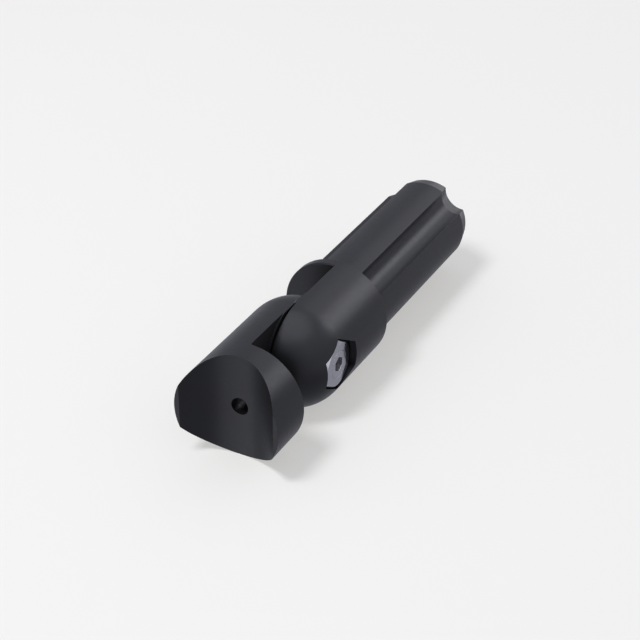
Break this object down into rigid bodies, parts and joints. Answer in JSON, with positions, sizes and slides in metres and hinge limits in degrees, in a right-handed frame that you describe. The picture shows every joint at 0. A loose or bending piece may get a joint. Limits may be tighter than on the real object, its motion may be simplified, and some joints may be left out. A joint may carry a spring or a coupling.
{
  "type": "flange tube connector",
  "caption": "Hinged flange connector for round tube: a saddle foot seats on a crossing tube, and a clamped ball hinge sets the angle of a grooved plug for a tube's end.",
  "frame": {"origin": "the middle of the saddle's floor, where it touches the crossing tube and where the pilot hole opens", "axes": "+X along the connector towards the plug's tip, +Z along the crossing tube, Y along the pivot; the nut is on the -Y side and the screw's head on the +Y side"},
  "size_m": [0.0948, 0.0234, 0.0234],
  "materials": {
    "mould_black": "satin",
    "zinc": "zinc plated"
  },
  "bodies": {
    "flange": {"flange_half": "mould_black"},
    "stem": {"stem_half": "mould_black", "hex_nut": "zinc", "pivot_screw": "zinc"}
  },
  "joints": [
    {"name": "angle_hinge", "type": "hinge", "parent": "flange", "child": "stem", "pos_m": [0.0226, 0, 0], "axis": [0, 1, 0], "range_deg": [-110, 110]}
  ]
}
